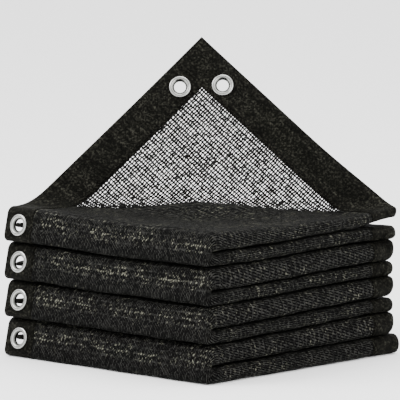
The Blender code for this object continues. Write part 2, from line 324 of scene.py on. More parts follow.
    def _stretches(self) -> list[Stretch]:
        """Every stretch of v in order.

        Returns:
            Panels and the turns between them, from the top.
        """
        found: list[Stretch] = []
        place = 0.0
        for panel in range(self.panels):
            inward = panel % 2 == 0
            far = self.side if panel in (0, self.panels - 1) else self.seam_turn_y
            ends = (far, self.eyelet_turn_y) if inward else (self.eyelet_turn_y, far)
            found.append(Stretch(place, place + abs(ends[1] - ends[0]), panel, ends=ends))
            place = found[-1].end
            if panel < self.panels - 1:
                outline = self._eyelet_turn(panel) if inward else self._seam_turn(panel)
                found.append(Stretch(place, place + self.turn_length, panel, outline=outline))
                place = found[-1].end
        return found

    def true_length(self, v: float) -> float:
        """Real length along the outer ply up to a place along v.

        Args:
            v: Place along the cloth.

        Returns:
            The length in metres.
        """
        total = 0.0
        for stretch in self.stretches:
            share = clamped((v - stretch.start) / (stretch.end - stretch.start))
            if not stretch.outline:
                total += share * (stretch.end - stretch.start)
            else:
                lengths = stretch.lengths()
                place = share * (len(lengths) - 1)
                index = min(int(place), len(lengths) - 2)
                total += lengths[index] + (lengths[index + 1] - lengths[index]) * (place - index)
            if v <= stretch.end:
                break
        return total

    def v_at(self, panel: int, y: float) -> float:
        """Place along v of a y on a panel."""
        stretch = self.stretches[2 * panel]
        return stretch.start + abs(y - stretch.ends[0])

    def face_middle(self, panel: int) -> float:
        """Place along v of the middle of an eyelet turn's leaning face."""
        stretch = self.stretches[2 * panel + 1]
        between_rounds = self.round_steps + 1.5
        share = between_rounds / (len(stretch.outline) - 1)
        return stretch.start + (stretch.end - stretch.start) * share

    def tip_rise(self, panel: int, x: float, y: float) -> float:
        """How far the top panel's far corner stands off the rest.

        Args:
            panel: Which panel, from the top.
            x: Place across the folded square.
            y: Place along it.

        Returns:
            The rise, 0 on the other panels.
        """
        if panel > 0:
            return 0.0
        across = self.smooth_step((x - self.tip_lift_x) / (self.fold_start - self.tip_lift_x))
        back = self.smooth_step((y - self.tip_lift_y) / (self.side - self.tip_lift_y))
        return self.tip_lift * across * back

    def plies(self, v: float, x: float) -> tuple[Vector, Vector]:
        """Both plies at a place along v.

        Args:
            v: Place along the cloth.
            x: Place across the folded square, which moves the inner turns.

        Returns:
            (y, z) of the first ply and of the second.
        """
        stretch = next((one for one in self.stretches if v <= one.end), self.stretches[-1])
        share = (v - stretch.start) / (stretch.end - stretch.start)
        panel = stretch.panel
        if not stretch.outline:
            y = stretch.ends[0] + (stretch.ends[1] - stretch.ends[0]) * share
            rise = self.tip_rise(panel, x, y)
            first_on_top = panel % 2 == 0
            first = Vector((y, self.ply_height(panel, first_on_top, y) + rise))
            return first, Vector((y, self.ply_height(panel, not first_on_top, y) + rise))
        place = clamped(share) * (len(stretch.outline) - 1)
        index = min(int(place), len(stretch.outline) - 2)
        outer = stretch.outline[index].lerp(stretch.outline[index + 1], place - index)
        at_eyelets = panel % 2 == 0
        start = self.eyelet_turn_y if at_eyelets else self.seam_turn_y
        turn_y = self.side - self.seam_inner_setback
        if at_eyelets:
            reach = (x - self.inner_turn_shift_x) / (self.fold_start - self.inner_turn_shift_x)
            shift = self.smooth_step(reach)
            turn_y = self.inner_turn_y + (self.inner_turn_near_fold_y - self.inner_turn_y) * shift
        upper = self.ply_height(panel, False, start)
        lower = self.ply_height(panel + 1, True, start)
        inner = self.tight_turn(start, turn_y, upper, lower, share)
        return (outer, inner) if at_eyelets else (inner, outer)

    def settled(self, x: float, y: float, z: float) -> float:
        """Height z with the shared unevenness: a swell along each side and a slump at the back corner.

        Args:
            x: Place across the folded square.
            y: Place along it.
            z: Height before the cloth settles.

        Returns:
            The settled height.
        """
        swell = math.sin(math.tau * x / self.wave_length_x + self.wave_start)
        swell += math.cos(math.tau * y / self.wave_length_y)
        slump = self.back_slump * max(0.0, 1 - x / self.side) * max(0.0, y / self.side)
        return z + (self.wave_height * swell - slump * z) * min(1.0, z / self.levels[0].near)

    def bend_frame(self) -> tuple[Vector, Vector, Vector]:
        """Start of the bend line, its direction, and the direction across it in the plane."""
        start = Vector((0.0, self.bend_start_y))
        along = (Vector((self.side, self.side)) - start).normalized()
        return start, along, Vector((-along.y, along.x))

    def beyond_bend(self, x: float, y: float) -> float:
        """How far a place of the top ply lies past the bend line."""
        start, _, across = self.bend_frame()
        return (Vector((x, y)) - start).dot(across)

    def lifted(self, place: Vector, share: float) -> Vector:
        """The top ply's place with its corner bent up.

        Args:
            place: The place before the bend.
            share: 1 on the top ply, 0 on the ply under it.

        Returns:
            The place after it.
        """
        start, along, across = self.bend_frame()
        offset = place.xy - start
        distance = offset.dot(across)
        run = offset.dot(along)
        middle_run = (Vector((self.side, self.side)) - start).length / 2
        crest = self.crest_height * math.exp(-(((run - middle_run) / self.crest_length) ** 2))
        crest *= math.exp(-(((distance + self.crest_width / 2) / self.crest_width) ** 2))
        if distance <= 0:
            return place + Vector((0, 0, crest * share))
        change = (self.bend_radius_end - self.bend_radius_start) * run / (2 * middle_run)
        radius = self.bend_radius_start + change
        angle = min(distance / radius, self.bend_angle)
        rest = distance - radius * angle
        level_run = radius * math.sin(angle) + rest * math.cos(angle)
        rise = radius * (1 - math.cos(angle)) + rest * math.sin(angle)
        foot = start + along * run
        height = self.ply_height(0, True, foot.y) + self.tip_rise(0, foot.x, foot.y)
        height = self.settled(foot.x, foot.y, height)
        flat = foot + across * level_run + along * self.flap_lean * rest
        return place.lerp(Vector((flat.x, flat.y, height + rise + crest)), share)

    def folded(self, u: float, v: float) -> Vector:
        """Where a flat place lies once folded, in world metres.

        Args:
            u: Place across the flat cloth.
            v: Place along it.

        Returns:
            The folded place.
        """
        turn = math.pi * clamped((u - self.fold_start) / self.fold_length)
        x = min(u, self.flat_width - u, self.fold_start)
        first, second = self.plies(v, x)
        half = (first - second) / 2
        across = (first + second) / 2 + half * math.cos(turn)
        bulge = min(self.fold_bulge, self.bulge_share * half.length)
        place = Vector((x + bulge * math.sin(turn), across.x, across.y))
        place.z = self.settled(place.x, place.y, place.z)
        if v < self.v_at(0, self.eyelet_turn_y):
            place = self.lifted(place, (1 + math.cos(turn)) / 2)
        return place + Vector((-self.side / 2, (self.eyelet_proud - self.side) / 2, 0))

    def out_of(self, u: float, v: float) -> Vector:
        """The direction out of the face of the cloth that shows, at a flat place.

        Args:
            u: Place across the flat cloth.
            v: Place along it.

        Returns:
            The unit direction.
        """
        near = 0.002
        along_u = self.folded(u + near, v) - self.folded(u - near, v)
        along_v = self.folded(u, v + near) - self.folded(u, v - near)
        return along_v.cross(along_u).normalized()

    def uneven(self, u: float, v: float) -> Vector:
        """A folded place with the soft puckers of a cloth that was folded by hand.

        Args:
            u: Place across the flat cloth.
            v: Place along it.

        Returns:
            The puckered place.
        """
        swell = 0.0
        for across, along, seed, share in self.pucker_waves:
            swell += share * noise.noise(Vector((u * across, v * along, seed)))
        return self.folded(u, v) + self.out_of(u, v) * swell * self.pucker

    def frame_on(self, u: float, v: float) -> Matrix:
        """Place and turn of a fitting on the cloth, its axis out of the face that shows.

        Args:
            u: Place across the flat cloth.
            v: Place along it.

        Returns:
            The fitting's matrix.
        """
        near = 0.004
        along_u = self.folded(u + near, v) - self.folded(u - near, v)
        along_v = self.folded(u, v + near) - self.folded(u, v - near)
        out = along_v.cross(along_u).normalized()
        side = along_u.normalized()
        turn = Matrix((side, out.cross(side), out)).transposed().to_4x4()
        return Matrix.Translation(self.folded(u, v)) @ turn


class Socket:
    """A shader value whose arithmetic adds Math nodes."""

    def __init__(self, tree: "ShaderTree", link: bpy.types.NodeSocket) -> None:
        """Wrap an output socket of a tree."""
        self.tree = tree
        self.link = link

    def _math(self, operation: str, *values: "Socket | float") -> "Socket":
        """A Math node on these values."""
        return self.tree.node("ShaderNodeMath", {"operation": operation}, dict(enumerate(values)))

    def __add__(self, other: "Socket | float") -> "Socket":
        """Sum."""
        return self._math("ADD", self, other)

    __radd__ = __add__

    def __mul__(self, other: "Socket | float") -> "Socket":
        """Product."""
        return self._math("MULTIPLY", self, other)

    __rmul__ = __mul__

    def __sub__(self, other: "Socket | float") -> "Socket":
        """Difference."""
        return self._math("SUBTRACT", self, other)

    def __rsub__(self, other: float) -> "Socket":
        """Difference from a number."""
        return self._math("SUBTRACT", other, self)

    def __truediv__(self, other: "Socket | float") -> "Socket":
        """Quotient."""
        return self._math("DIVIDE", self, other)

    def __abs__(self) -> "Socket":
        """Size without sign."""
        return self._math("ABSOLUTE", self)

    def fract(self) -> "Socket":
        """What is left past the whole number."""
        return self._math("FRACT", self)

    def floor(self) -> "Socket":
        """The whole number below."""
        return self._math("FLOOR", self)

    def sin(self) -> "Socket":
        """Sine of an angle in radians."""
        return self._math("SINE", self)

    def larger(self, other: "Socket | float") -> "Socket":
        """The larger of two values."""
        return self._math("MAXIMUM", self, other)

    def smaller(self, other: "Socket | float") -> "Socket":
        """The smaller of two values."""
        return self._math("MINIMUM", self, other)

    def ramp(self, low: float, high: float) -> "Socket":
        """0 at low, 1 at high, and a smooth rise between."""
        settings = {"interpolation_type": "SMOOTHSTEP"}
        values = {"Value": self, "From Min": low, "From Max": high}
        return self.tree.node("ShaderNodeMapRange", settings, values)


class ShaderTree:
    """The nodes of one material."""

    def __init__(self, name: str) -> None:
        """Start a material with its Principled BSDF.

        Args:
            name: Name of the material.
        """
        self.material = bpy.data.materials.new(name)
        self.material.use_nodes = True
        self.nodes = self.material.node_tree.nodes
        self.links = self.material.node_tree.links
        self.shader = self.nodes["Principled BSDF"]

    def node(
        self,
        kind: str,
        settings: dict[str, object] | None = None,
        values: dict[str | int, object] | None = None,
        output: str | int = 0,
    ) -> Socket:
        """Add a node.

        Args:
            kind: Its type, such as ShaderNodeMath.
            settings: What is set on the node before its sockets.
            values: Numbers, colours or sockets for its inputs, by name or number.
            output: Which output is given back.

        Returns:
            The output, wrapped.
        """
        made = self.nodes.new(kind)
        for name, value in (settings or {}).items():
            setattr(made, name, value)
        for name, value in (values or {}).items():
            self.feed(made.inputs[name], value)
        return Socket(self, made.outputs[output])

    def feed(self, socket: bpy.types.NodeSocket, value: object) -> None:
        """Set an input to a number or colour, or link it.

        Args:
            socket: The input.
            value: A number, colour or socket.
        """
        if isinstance(value, Socket):
            self.links.new(value.link, socket)
        else:
            socket.default_value = value

    def flat_place(self) -> tuple[Socket, Socket]:
        """The flat cloth's u and v, in metres, from the piece's own map."""
        place = self.node("ShaderNodeUVMap", {"uv_map": ClothMesh.FLAT_MAP})
        split = self.node("ShaderNodeSeparateXYZ", values={0: place})
        return split, Socket(self, split.link.node.outputs[1])

    def attribute(self, name: str) -> Socket:
        """A number painted on the piece's points."""
        return self.node("ShaderNodeAttribute", {"attribute_name": name}, output="Fac")

    def cell(self, across: Socket, along: Socket, seed: float) -> Socket:
        """A random number for each whole (across, along)."""
        return self._random({0: across.floor(), 1: along.floor(), 2: seed})

    def row(self, along: Socket, seed: float) -> Socket:
        """A random number for each whole along."""
        return self._random({1: along.floor(), 2: seed})

    def _random(self, parts: dict[int, Socket | float]) -> Socket:
        """A random number for a place, given by its parts."""
        place = self.node("ShaderNodeCombineXYZ", values=parts)
        return self.node("ShaderNodeTexWhiteNoise", {"noise_dimensions": "3D"}, {"Vector": place})

    def line(self, place: Socket, edge: Range) -> Socket:
        """1 along the middle of each whole step of a place, 0 past the edge on both sides."""
        return 1 - abs(place.fract() - 0.5).ramp(*edge)

    def stretched(self, u: Socket, v: Socket, u_scale: float, v_scale: float) -> Socket:
        """A place for noise that runs in streaks."""
        return self.node("ShaderNodeCombineXYZ", values={0: u * u_scale, 1: v * v_scale})

    def clouds(self, scale: float, detail: float = 2.0) -> Socket:
        """Soft noise over the piece, by Object coordinates."""
        place = self.node("ShaderNodeTexCoord", output="Object")
        return self.node("ShaderNodeTexNoise", values={"Vector": place, "Scale": scale, "Detail": detail})

    def colour_mix(self, share: Socket, low: Colour | Socket, high: Colour | Socket) -> Socket:
        """A colour between two.

        Args:
            share: How much of the second, from 0 to 1.
            low: The first colour.
            high: The second colour.

        Returns:
            The mixed colour.
        """
        values: dict[str | int, object] = {"Factor": share}
        for index, colour in ((6, low), (7, high)):
            values[index] = colour if isinstance(colour, Socket) else (*colour, 1.0)
        return self.node("ShaderNodeMix", {"data_type": "RGBA", "clamp_factor": True}, values, output=2)

    def bump(self, height: Socket, distance: float, strength: float = 1.0) -> Socket:
        """A Bump node on a height from 0 to 1."""
        values = {"Height": height, "Distance": distance, "Strength": strength}
        return self.node("ShaderNodeBump", None, values)

    def finish(self, **inputs: object) -> bpy.types.Material:
        """Feed the shader's inputs, given with underscores for spaces, and give the material back.

        Args:
            inputs: Values by the names of the shader's inputs.

        Returns:
            The material.
        """
        for name, value in inputs.items():
            self.feed(self.shader.inputs[name.replace("_", " ")], value)
        return self.material


@dataclass(frozen=True)
class NetFinish:
    """Black knitted net in layers: chain-stitched wales, fine ribs across, painted shade in the holes and
    between the yarns, and pale specks that are painted glints.
    """

    wale_pitch: float = 0.0068
    loop_pitch: float = 0.0036
    rib_pitch: float = 0.0023
    rib_slant: float = 0.25
    loop_slant: float = 0.5
    wale_edge: Range = (0.09, 0.21)
    loop_edge: Range = (0.14, 0.40)
    rib_edge: Range = (0.12, 0.38)
    knot_rows: Range = (0.02, 0.30)
    hole_shade_heights: Range = (0.15, 0.55)
    pale_tones: Range = (0.40, 1.00)
    patch_edge: Range = (0.36, 0.66)
    glint_odds: Range = (0.98, 1.30)
    stray_glint_odds: Range = (0.84, 0.97)
    drift_scale: float = 150.0
    fine_scale: float = 1100.0
    patch_scale: float = 34.0
    relief: float = 0.0012
    # Painted shade: near-black for the holes and the low places between yarns, standing for the shaded
    # inside of the pile.
    hole: Colour = (0.0003, 0.0003, 0.0003)
    yarn: Colour = (0.0034, 0.0034, 0.0031)
    pale_yarn: Colour = (0.0290, 0.0290, 0.0265)
    # Painted glint: the pale colour of the specks stands for highlights on the plastic yarn.
    painted_glint: Colour = (0.135, 0.134, 0.104)
    roughness: float = 0.55

    def material(self, name: str) -> bpy.types.Material:
        """The finish as a material.

        Args:
            name: Name of the material.

        Returns:
            The material.
        """
        tree = ShaderTree(name)
        u, v = tree.flat_place()
        drift = tree.clouds(self.drift_scale, detail=4.0) - 0.5
        wales = v / self.wale_pitch + drift * 0.9
        ribs = (u + v * self.rib_slant) / self.rib_pitch + drift * 0.5
        loops = (u + v * self.loop_slant) / self.loop_pitch + tree.row(wales, seed=4.0) + drift
        on_wale = tree.line(wales, self.wale_edge)
        on_loop = tree.line(loops, self.loop_edge)
        rib = tree.line(ribs, self.rib_edge)
        chance = tree.cell(ribs, wales * 2.7, seed=2.0)
        fine = tree.clouds(self.fine_scale)
        # Strength of the painted glints, in a band on each eyelet turn; it also raises the knots.
        rows = tree.attribute(ClothMesh.GLINT_AND_KNOT_ROWS)
        knots = on_wale * (0.35 + on_loop * 0.65) * rows.ramp(*self.knot_rows)
        height = knots.larger(rib * (0.50 + chance * 0.30))
        tone = (chance * 0.45 + fine * 0.75).ramp(*self.pale_tones)
        colour = tree.colour_mix(tone, self.yarn, self.pale_yarn)
        # Painted shade: the low places between the yarns take the near-black hole colour.
        colour = tree.colour_mix(1 - height.ramp(*self.hole_shade_heights), colour, self.hole)
        patches = tree.clouds(self.patch_scale).ramp(*self.patch_edge)
        # Painted glints: pale specks on the loops and stray ones on the ribs, strongest in the bands.
        lit = tree.cell(loops, wales, seed=7.0) * 0.75 + patches * 0.40 + rows * 0.42
        painted_glint = lit.ramp(*self.glint_odds) * on_wale * on_loop * (fine + 0.25)
        stray_glint = tree.cell(ribs, wales * 4.3, seed=5.0).ramp(*self.stray_glint_odds) * rib * rows
        stray_glint = stray_glint * (0.25 + patches * 0.9)
        colour = tree.colour_mix(painted_glint.larger(stray_glint).smaller(1.0), colour, self.painted_glint)
        normal = tree.bump(height + fine * 0.35, self.relief)
        rough = self.roughness + fine * 0.2
        return tree.finish(
            Base_Color=colour, Roughness=rough, Normal=normal, Specular_IOR_Level=CLOTH_SPECULAR
        )


@dataclass(frozen=True)
class StrandFinish:
    """Black plastic yarn of the net that stands alone."""

    colour: Colour = (0.0016, 0.0016, 0.0015)
    pale: Colour = (0.0180, 0.0180, 0.0165)
    spot_scale: float = 520.0
    spot_edge: Range = (0.45, 0.75)
    grain_scale: float = 2200.0
    relief: float = 0.0002
    roughness: float = 0.42

    def material(self, name: str) -> bpy.types.Material:
        """The finish as a material.

        Args:
            name: Name of the material.

        Returns:
            The material.
        """
        tree = ShaderTree(name)
        spots = tree.clouds(self.spot_scale)
        colour = tree.colour_mix(spots.ramp(*self.spot_edge), self.colour, self.pale)
        normal = tree.bump(tree.clouds(self.grain_scale, detail=1.0), self.relief)
        rough = self.roughness + spots * 0.2
        return tree.finish(
            Base_Color=colour, Roughness=rough, Normal=normal, Specular_IOR_Level=CLOTH_SPECULAR
        )


@dataclass(frozen=True)
class TapeFinish:
    """Black woven tape: a fine diagonal weave and a trace of brown, with painted highlights on the weave's
    ridges and worn patches at random.
    """

    thread: float = 0.0019
    thread_length: float = 1.6
    cloud_scale: float = 60.0
    cloud_edge: Range = (0.30, 0.70)
    band_scales: Range = (12.0, 170.0)
    band_edge: Range = (0.45, 0.70)
    speckle_scale: float = 430.0
    speckle_edge: Range = (0.46, 0.68)
    relief: float = 0.00035
    dark: Colour = (0.0009, 0.0009, 0.0007)
    pale: Colour = (0.0370, 0.0362, 0.0285)
    roughness: float = 0.62

    def material(self, name: str) -> bpy.types.Material:
        """The finish as a material.

        Args:
            name: Name of the material.

        Returns:
            The material.
        """
        tree = ShaderTree(name)
        u, v = tree.flat_place()
        across = (u + v) / self.thread
        along = (u - v) / (self.thread * self.thread_length)
        over = (across.fract() * math.tau).sin() * 0.5 + 0.5
        under = (along.fract() * math.tau).sin() * 0.5 + 0.5
        chance = tree.cell(across, along, seed=1.0)
        height = over * (0.55 + under * 0.45)
        cloudy = tree.clouds(self.cloud_scale, detail=3.0)
        streaks = {"Vector": tree.stretched(u, v, *self.band_scales), "Scale": 1.0}
        bands = tree.node("ShaderNodeTexNoise", None, streaks)
        speckle = tree.clouds(self.speckle_scale, detail=1.0).ramp(*self.speckle_edge)
        worn = 0.25 + cloudy.ramp(*self.cloud_edge) * 0.4 + bands.ramp(*self.band_edge) * 0.5
        # Painted highlight: the weave's ridges are paler than the hollows between threads.
        tone = (height * 0.45 + speckle * 0.75) * (0.25 + chance * 0.75) * worn
        colour = tree.colour_mix(tone, self.dark, self.pale)
        normal = tree.bump(height + chance * 0.3, self.relief)
        rough = self.roughness + chance * 0.18
        return tree.finish(
            Base_Color=colour, Roughness=rough, Normal=normal, Specular_IOR_Level=CLOTH_SPECULAR
        )


@dataclass(frozen=True)
class ThreadFinish:
    """Sewing thread of the hems, a little paler than the tape."""

    colour: Colour = (0.0070, 0.0068, 0.0058)
    paler: float = 1.6
    twist_scale: float = 3000.0
    relief: float = 0.0001

    def material(self, name: str) -> bpy.types.Material:
        """The finish as a material.

        Args:
            name: Name of the material.

        Returns:
            The material.
        """
        tree = ShaderTree(name)
        twist = tree.clouds(self.twist_scale, detail=1.0)
        colour = tree.colour_mix(twist, self.colour, tuple(self.paler * part for part in self.colour))
        normal = tree.bump(twist, self.relief)
        return tree.finish(Base_Color=colour, Normal=normal, Specular_IOR_Level=CLOTH_SPECULAR)


@dataclass(frozen=True)
class EyeletFinish:
    """Bright pressed metal: painted highlights on the lips, a duller flange between them and painted shade
    in the barrel.
    """

    SHINE = "shine"

    # Painted highlight on the lips and painted shade in the barrel; the flange colour is the metal's own
    # tone.
    lip_highlight: Colour = (0.40, 0.40, 0.385)
    flange: Colour = (0.090, 0.094, 0.086)
    barrel: Colour = (0.012, 0.012, 0.011)
    mark_scale: float = 260.0
    dent_scale: float = 700.0
    relief: float = 0.00006
    roughness: float = 0.20

    def material(self, name: str) -> bpy.types.Material:
        """The finish as a material.

        Args:
            name: Name of the material.

        Returns:
            The material.
        """
        tree = ShaderTree(name)
        marks = tree.clouds(self.mark_scale, detail=4.0)
        shine = tree.attribute(self.SHINE)
        # Painted shade in the barrel, painted highlights on the lips, by the shine attribute.
        colour = tree.colour_mix(shine.ramp(0.0, 0.5), self.barrel, self.flange)
        colour = tree.colour_mix(shine.ramp(0.5, 1.0) * (0.75 + marks * 0.4), colour, self.lip_highlight)
        normal = tree.bump(tree.clouds(self.dent_scale), self.relief)
        rough = self.roughness + marks * 0.16
        return tree.finish(Base_Color=colour, Metallic=1.0, Roughness=rough, Normal=normal)


@dataclass
class ClothMesh:
    """Flat pieces of the cloth, cut in (u, v) and folded into fine thin sheets."""

    FLAT_MAP = "flat"
    # Attribute for the strength of the painted glints and of the knot relief.
    GLINT_AND_KNOT_ROWS = "glint_and_knot_rows"

    cloth: FoldedCloth
    step: float = 0.0065
    turn_step: float = 0.0030
    # Band of painted glints and knot relief on each eyelet turn, and their strength elsewhere.
    band_middle: float = 0.40
    band_width: float = 0.10
    plain_glints_and_knots: float = 0.35
    below_band: float = 0.12
    fold_steps: int = 18

    def lines_across(self, low: float, high: float) -> list[float]:
        """Every u at which a piece between two values gets a line.

        Args:
            low: First u.
            high: Last u.

        Returns:
            The lines, from low to high.
        """
        cloth = self.cloth
        steps = range(self.fold_steps + 1)
        folds = [cloth.fold_start + cloth.fold_length * step / self.fold_steps for step in steps]
        return self._spaced(low, high, [value for value in folds if low < value < high])

    def lines_along(self, low: float, high: float) -> list[float]:
        """Every v at which a piece between two values gets a line.

        Args:
            low: First v.
            high: Last v.

        Returns:
            The lines, from low to high.
        """
        marks = []
        for stretch in self.cloth.stretches:
            marks += [stretch.start, stretch.end]
            lengths = stretch.lengths()
            unit = (stretch.end - stretch.start) / max(1, len(lengths) - 1)
            for index, (before, after) in enumerate(zip(lengths, lengths[1:])):
                parts = max(1, round((after - before) / self.turn_step))
                marks += [stretch.start + unit * (index + part / parts) for part in range(parts)]
        return self._spaced(low, high, sorted({value for value in marks if low < value < high}))

    def _spaced(self, low: float, high: float, marks: list[float]) -> list[float]:
        """Marks between two ends, with more where two lie further apart than a step.

        Args:
            low: First end.
            high: Last end.
            marks: The marks between them, in order.

        Returns:
            All marks with both ends.
        """
        found = [low]
        for value in [*marks, high]:
            count = max(1, round((value - found[-1]) / self.step))
            first = found[-1]
            found += [first + (value - first) * index / count for index in range(1, count + 1)]
        return found

    def cut(self, u_range: Range, v_range: Range) -> bmesh.types.BMesh:
        """A flat piece as a grid whose lines follow the folds.

        Args:
            u_range: First and last u.
            v_range: First and last v.

        Returns:
            The flat piece, its points at (u, v, 0).
        """
        across, along = self.lines_across(*u_range), self.lines_along(*v_range)
        sheet = bmesh.new()
        columns, rows = len(across) - 1, len(along) - 1
        bmesh.ops.create_grid(sheet, x_segments=columns, y_segments=rows, size=0.5)
        for vert in sheet.verts:
            column = round((vert.co.x + 0.5) * columns)
            row = round((vert.co.y + 0.5) * rows)
            vert.co = (across[column], along[row], 0)
        return sheet

    def keep_lying(self, sheet: bmesh.types.BMesh, margin: float) -> None:
        """Take away the part of the top ply that stands up, which open yarns stand for.

        Args:
            sheet: A flat piece.
            margin: How far past the bend line the sheet goes on.
        """
        cloth = self.cloth
        start, _, across = cloth.bend_frame()
        last = cloth.v_at(0, cloth.eyelet_turn_y)
        centres = {face: face.calc_center_median() for face in sheet.faces}
        faces = [face for face, centre in centres.items() if centre.x < cloth.fold_start and centre.y < last]
        verts = {vert for face in faces for vert in face.verts}
        edges = {edge for face in faces for edge in face.edges}
        foot = start + across * margin
        bmesh.ops.bisect_plane(
            sheet,
            geom=[*verts, *edges, *faces],
            plane_co=(foot.x, cloth.side - foot.y, 0),
            plane_no=(across.x, -across.y, 0),
            dist=CUT_TOLERANCE,
        )
        beyond = []
        for face in sheet.faces:
            centre = face.calc_center_median()
            on_top = centre.x < cloth.fold_start and centre.y < last
            if on_top and cloth.beyond_bend(centre.x, cloth.side - centre.y) > margin:
                beyond.append(face)
        bmesh.ops.delete(sheet, geom=beyond, context="FACES")

    def glint_and_knot_row(self, v: float) -> float:
        """How strongly the painted glints and the knot relief show at v: in a band on the eyelet turns,
        weakly elsewhere.

        Args:
            v: Place along the cloth.

        Returns:
            The strength, from 0 to 1.
        """
        for stretch in self.cloth.stretches:
            if stretch.outline and stretch.panel % 2 == 0 and stretch.start <= v <= stretch.end:
                along = self.cloth.true_length(v) - self.cloth.true_length(stretch.start)
                offset = along / stretch.lengths()[-1] - self.band_middle
                fade = 1.0 if offset < 0 else self.below_band
                return max(math.exp(-((offset / self.band_width) ** 2)), self.plain_glints_and_knots * fade)
        return self.plain_glints_and_knots

    def fold(self, sheet: bmesh.types.BMesh, puckered: bool) -> None:
        """Fold a flat piece in place and write its flat map and the strength of its painted glints and knot
        relief.

        Args:
            sheet: The flat piece.
            puckered: Whether it gets the soft puckers.
        """
        uv = sheet.loops.layers.uv.new(self.FLAT_MAP)
        rows = sheet.verts.layers.float.new(self.GLINT_AND_KNOT_ROWS)
        true_lengths = {vert.co.y: self.cloth.true_length(vert.co.y) for vert in sheet.verts}
        for face in sheet.faces:
            for loop in face.loops:
                loop[uv].uv = (loop.vert.co.x, true_lengths[loop.vert.co.y])
        rule = self.cloth.uneven if puckered else self.cloth.folded
        for vert in sheet.verts:
            u, v = vert.co.xy
            vert[rows] = self.glint_and_knot_row(v)
            vert.co = rule(u, v)

    def piece(
        self, name: str, sheet: bmesh.types.BMesh, thickness: float, material: bpy.types.Material
    ) -> bpy.types.Object:
        """Make a folded sheet an object with its thickness.

        Args:
            name: Name of the object.
            sheet: The folded sheet, which is freed.
            thickness: Thickness of the cloth.
            material: Its finish.

        Returns:
            The object.
        """
        made = new_object(name, sheet, material)
        thicken(made, thickness).use_even_offset = False
        made.data.shade_smooth()
        return made


def new_object(name: str, mesh_data: bmesh.types.BMesh, material: bpy.types.Material) -> bpy.types.Object:
    """A scene object of a bmesh.

    Args:
        name: Name of the object.
        mesh_data: Its shape, which is freed.
        material: Its finish.

    Returns:
        The object.
    """
    mesh = bpy.data.meshes.new(name)
    mesh_data.to_mesh(mesh)
    mesh_data.free()
    made = bpy.data.objects.new(name, mesh)
    bpy.context.scene.collection.objects.link(made)
    mesh.materials.append(material)
    return made


def thicken(made: bpy.types.Object, thickness: float) -> bpy.types.SolidifyModifier:
    """Give a sheet a thickness, half of it on each side.

    Args:
        made: The sheet.
        thickness: Its thickness.

    Returns:
        The modifier that does it.
    """
    solid = made.modifiers.new("Thickness", "SOLIDIFY")
    solid.thickness = thickness
    solid.offset = 0
    return solid


def dress(made: bpy.types.Object, node: str) -> None:
    """Tie a piece to the frame and report it.

    Args:
        made: The piece, which moves with the root.
        node: The frame's node that it stands for.
    """
    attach(made, "root")
    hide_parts(node)
    LOG.info("%s: %d faces for %s", made.name, len(made.data.polygons), node)


@dataclass
class NetWidths:
    """The four widths of net as fine sheets, without the part where the corner stands up."""

    meshes: ClothMesh
    finish: NetFinish = NetFinish()
    thickness: float = 0.0009
    under_tape: float = 0.0012
    bend_margin: float = 0.004

    def build(self, open_net: list[bpy.types.Object]) -> None:
        """Args:
            open_net: The pieces that stand for the lifted part of the top width; not used.
        """
        cloth = self.meshes.cloth
        end_line = cloth.side - cloth.tape
        u_range = (cloth.tape - self.under_tape, cloth.flat_width - cloth.tape + self.under_tape)
        for number in range(cloth.panels // 2):
            start = cloth.v_at(2 * number, end_line) - self.under_tape
            end = cloth.v_at(2 * number + 1, end_line) + self.under_tape
            sheet = self.meshes.cut(u_range, (start, end))
            if number == 0:
                self.meshes.keep_lying(sheet, self.bend_margin)
            area = sum(face.calc_area() for face in sheet.faces)
            self.meshes.fold(sheet, puckered=True)
            name = f"net_sheet_{number + 1}"
            made = self.meshes.piece(name, sheet, self.thickness, self.finish.material(name))
            dress(made, f"net_width_{number + 1}")
            flat = (u_range[1] - u_range[0], end - start)
            LOG.info("%s: %.3f by %.3f m flat", name, *flat)


